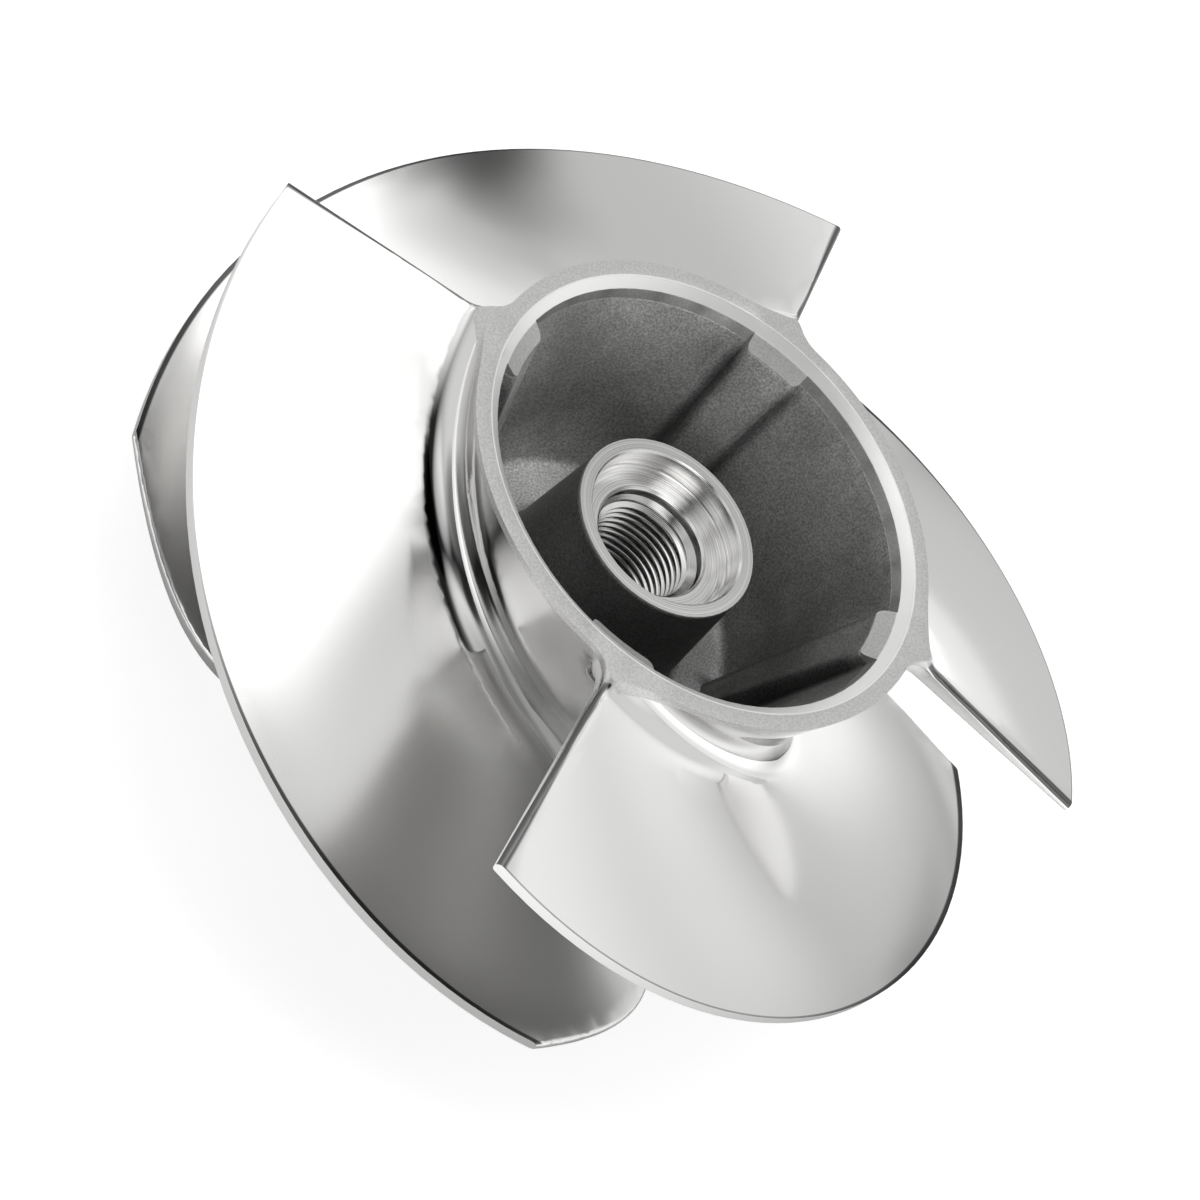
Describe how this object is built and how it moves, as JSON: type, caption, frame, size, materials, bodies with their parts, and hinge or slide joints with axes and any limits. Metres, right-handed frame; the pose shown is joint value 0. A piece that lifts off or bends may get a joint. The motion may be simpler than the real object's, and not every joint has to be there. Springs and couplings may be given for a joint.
{
  "type": "pump impeller",
  "caption": "Axial jet-pump impeller cast in polished stainless: swept overlapping blades on a tapered hollow hub with a ribbed cavity, stepped boss bore and threaded shaft hole.",
  "frame": {"origin": "shaft axis at the flat front nose face", "axes": "+Z along the shaft axis towards the open rear end; the first blade's trailing edge is headed 319.56 degrees from +X"},
  "size_m": [0.1554, 0.1554, 0.067],
  "materials": {
    "impeller": "mirror polished stainless, satin rim, blasted cavity"
  },
  "bodies": {
    "root": {"impeller": "impeller"}
  },
  "joints": []
}
